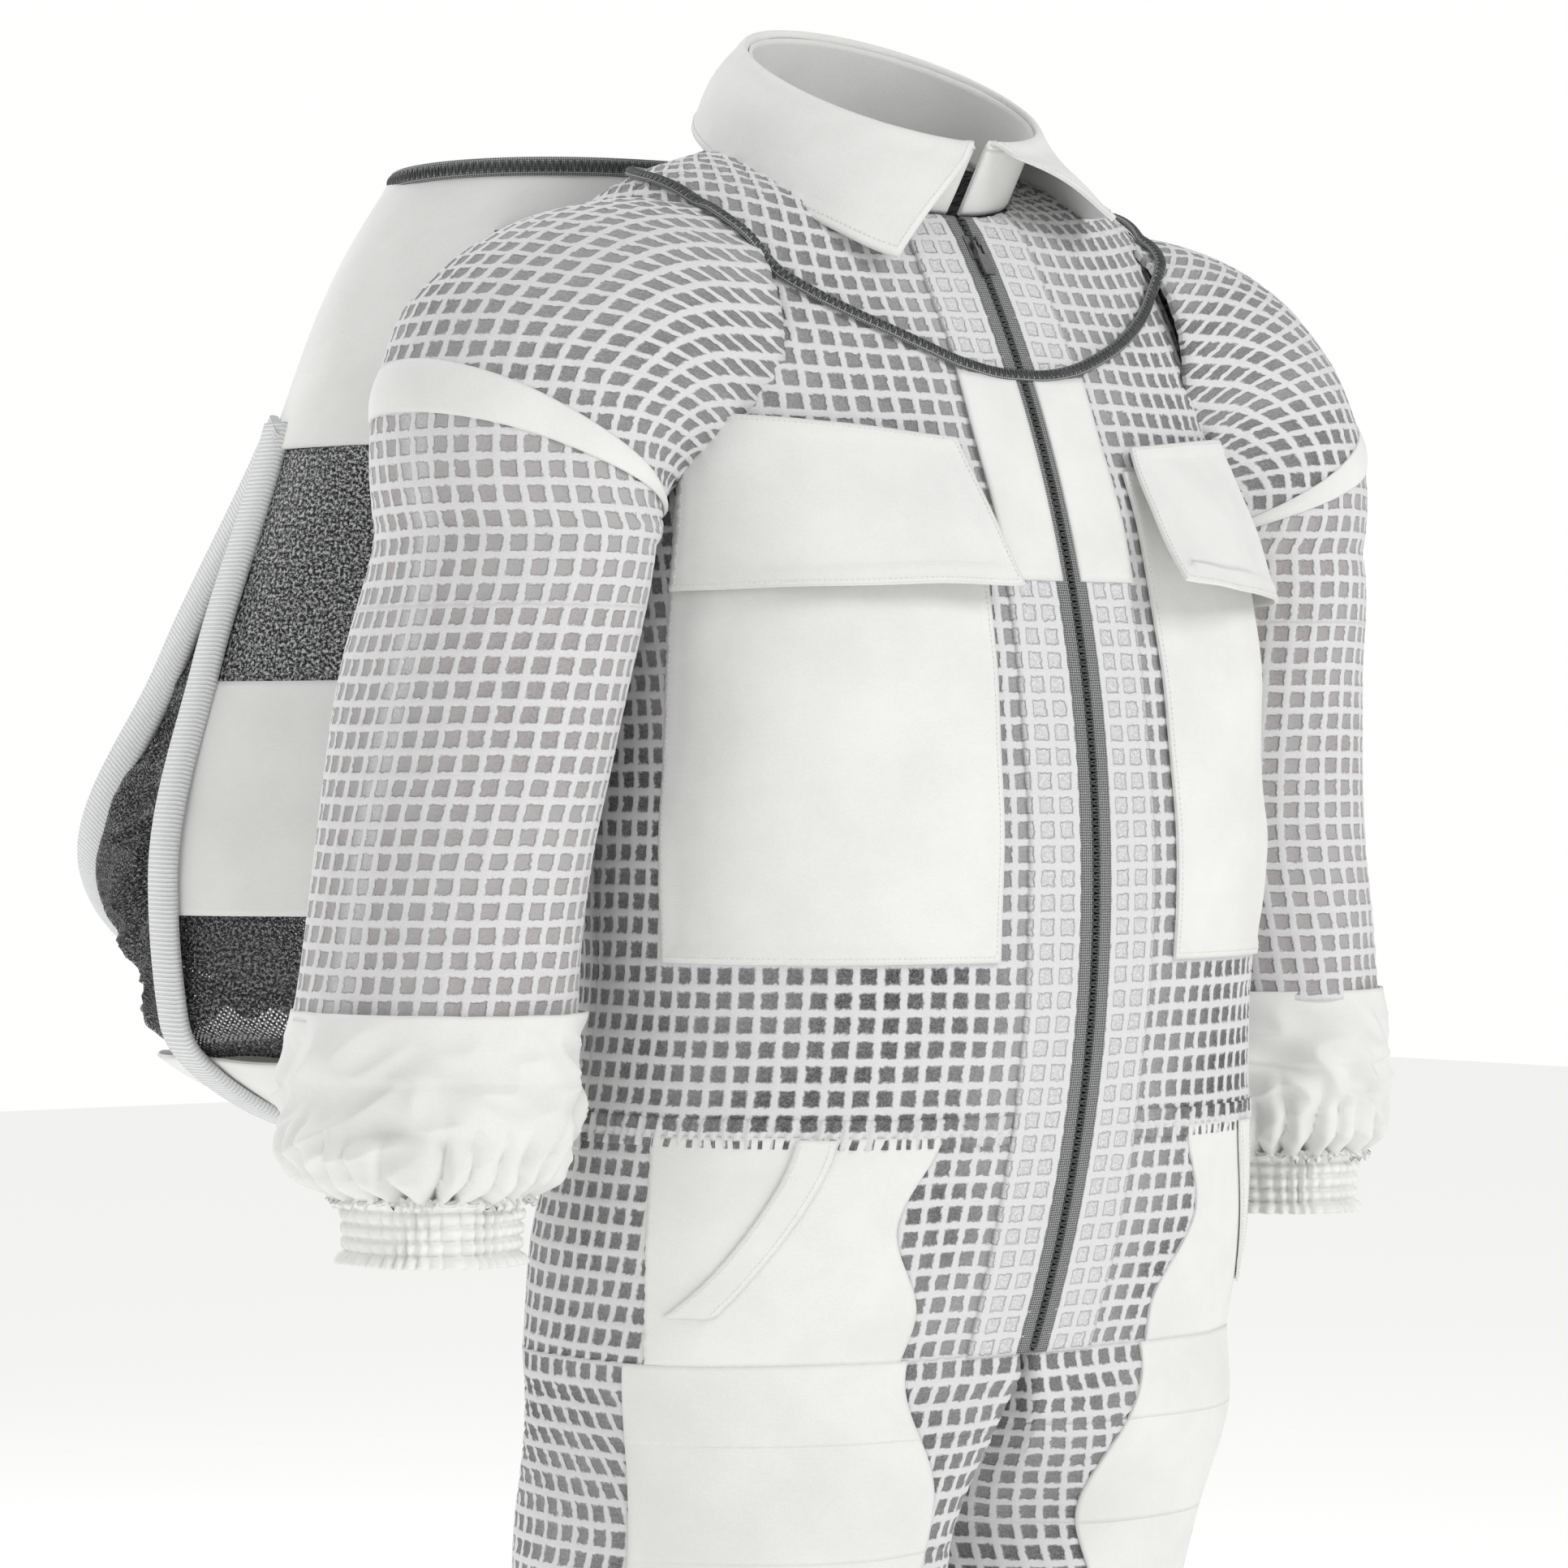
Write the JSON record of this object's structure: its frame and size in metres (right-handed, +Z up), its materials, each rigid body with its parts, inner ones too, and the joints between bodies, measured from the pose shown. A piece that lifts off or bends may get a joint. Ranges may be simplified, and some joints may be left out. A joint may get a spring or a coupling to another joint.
{
  "type": "ventilated beekeeping suit with fencing hood",
  "caption": "One-piece ventilated beekeeping coverall with front zip, shirt collar, chest pockets, elastic cuffs and a hooped veil hood hung open behind.",
  "frame": {"origin": "centre of the neck opening, on the neck seam's plane", "axes": "+Z up along the wearer, -Y out of the wearer's chest, +X to the wearer's left"},
  "size_m": [0.878, 0.851, 1.497],
  "materials": {
    "mesh": "three-layer ventilated mesh: white fuzzy net over small grey spacer squares",
    "cotton": "warm white brushed cotton twill",
    "hood_mesh": "black open-weave see-through veil mesh",
    "hoop_band": "ribbed off-white elastic casing over a sprung hoop",
    "zip_tape": "dark grey woven zip tape",
    "zip_teeth": "moulded dark grey coil teeth",
    "zip_metal": "dark nickel slider and pull",
    "elastic": "gathered cotton over elastic",
    "touch_tape": "black hook-and-loop tape"
  },
  "bodies": {
    "coverall": {"front_panel_right": "mesh", "fly_panel_right": "mesh", "side_panel_right": "mesh", "sleeve_head_right": "mesh", "hip_section_right": "mesh", "zip_facing_right": "cotton", "hip_panel_right": "cotton", "pocket_facing_right": "cotton", "chest_pocket_right": "cotton", "zip_tape_right": "zip_tape", "front_panel_left": "mesh", "fly_panel_left": "mesh", "side_panel_left": "mesh", "sleeve_head_left": "mesh", "hip_section_left": "mesh", "zip_facing_left": "cotton", "hip_panel_left": "cotton", "pocket_facing_left": "cotton", "chest_pocket_left": "cotton", "zip_tape_left": "zip_tape", "back_panel": "mesh", "seat_panel": "mesh", "crotch_gusset": "mesh", "waist_elastic": "elastic", "front_zip_teeth": "zip_teeth", "ring_zip": "zip_teeth", "ring_zip_front_ends": "zip_teeth", "nape_zip_join": "zip_teeth", "collar_stand": "cotton", "collar_leaf": "cotton", "touch_tape_tab": "touch_tape"},
    "zip_slider": {"front_zip_slider": "zip_metal"},
    "zip_pull": {"front_zip_pull": "zip_metal"},
    "hood": {"hood_zip_edge": "zip_teeth", "hood_skirt": "cotton", "hood_crown": "cotton", "hood_rear_band": "cotton", "hood_rear_mesh": "hood_mesh", "hood_top_mesh": "hood_mesh", "hood_face_veil": "hood_mesh", "hood_hoop_inner": "hoop_band", "hood_hoop_outer": "hoop_band"},
    "flap_right": {"chest_flap_right": "cotton"},
    "sleeve_right": {"upper_sleeve_right": "mesh", "elbow_section_right": "mesh"},
    "forearm_right": {"forearm_right": "cotton", "wrist_cuff_right": "elastic"},
    "thigh_right": {"thigh_right": "mesh", "knee_section_right": "mesh"},
    "shin_right": {"shin_right": "mesh", "ankle_cuff_right": "elastic"},
    "flap_left": {"chest_flap_left": "cotton"},
    "sleeve_left": {"upper_sleeve_left": "mesh", "elbow_section_left": "mesh"},
    "forearm_left": {"forearm_left": "cotton", "wrist_cuff_left": "elastic"},
    "thigh_left": {"thigh_left": "mesh", "knee_section_left": "mesh"},
    "shin_left": {"shin_left": "mesh", "ankle_cuff_left": "elastic"}
  },
  "joints": [
    {"name": "front_zip_travel", "type": "hinge", "parent": "coverall", "child": "zip_slider", "pos_m": [0, 0.532, -0.47], "axis": [1, 0, 0], "range_deg": [0, 52], "deforming": ["ring_zip_front_ends"]},
    {"name": "zip_pull_swing", "type": "hinge", "parent": "zip_slider", "child": "zip_pull", "pos_m": [0, -0.10449, -0.06021], "axis": [1, 0, 0], "range_deg": [-130, 0]},
    {"name": "chest_flap_lift_right", "type": "hinge", "parent": "coverall", "child": "flap_right", "pos_m": [0, -0.172, -0.199], "axis": [1, 0, 0], "range_deg": [-150, 0]},
    {"name": "chest_flap_lift_left", "type": "hinge", "parent": "coverall", "child": "flap_left", "pos_m": [0, -0.172, -0.199], "axis": [1, 0, 0], "range_deg": [-150, 0]},
    {"name": "shoulder_swing_right", "type": "hinge", "parent": "coverall", "child": "sleeve_right", "pos_m": [-0.24, -0.015, -0.148], "axis": [1, 0, 0], "range_deg": [-90, 15], "deforming": ["sleeve_head_right"]},
    {"name": "elbow_bend_right", "type": "hinge", "parent": "sleeve_right", "child": "forearm_right", "pos_m": [-0.322, 0.008, -0.42], "axis": [1, 0, 0], "range_deg": [-90, 0], "deforming": ["elbow_section_right"]},
    {"name": "hip_swing_right", "type": "hinge", "parent": "coverall", "child": "thigh_right", "pos_m": [-0.13, -0.02, -0.61], "axis": [1, 0, 0], "range_deg": [-75, 15], "deforming": ["hip_section_right"]},
    {"name": "knee_bend_right", "type": "hinge", "parent": "thigh_right", "child": "shin_right", "pos_m": [-0.137, -0.02, -1.01], "axis": [1, 0, 0], "range_deg": [0, 80], "deforming": ["knee_section_right"]},
    {"name": "shoulder_swing_left", "type": "hinge", "parent": "coverall", "child": "sleeve_left", "pos_m": [0.24, -0.015, -0.148], "axis": [1, 0, 0], "range_deg": [-90, 15], "deforming": ["sleeve_head_left"]},
    {"name": "elbow_bend_left", "type": "hinge", "parent": "sleeve_left", "child": "forearm_left", "pos_m": [0.322, 0.008, -0.42], "axis": [1, 0, 0], "range_deg": [-90, 0], "deforming": ["elbow_section_left"]},
    {"name": "hip_swing_left", "type": "hinge", "parent": "coverall", "child": "thigh_left", "pos_m": [0.13, -0.02, -0.61], "axis": [1, 0, 0], "range_deg": [-75, 15], "deforming": ["hip_section_left"]},
    {"name": "knee_bend_left", "type": "hinge", "parent": "thigh_left", "child": "shin_left", "pos_m": [0.137, 0.046, -1.01], "axis": [1, 0, 0], "range_deg": [0, 80], "deforming": ["knee_section_left"]},
    {"name": "hood_flip", "type": "hinge", "parent": "coverall", "child": "hood", "pos_m": [0, 0.132, -0.03], "axis": [1, 0, 0], "range_deg": [0, 50]}
  ]
}
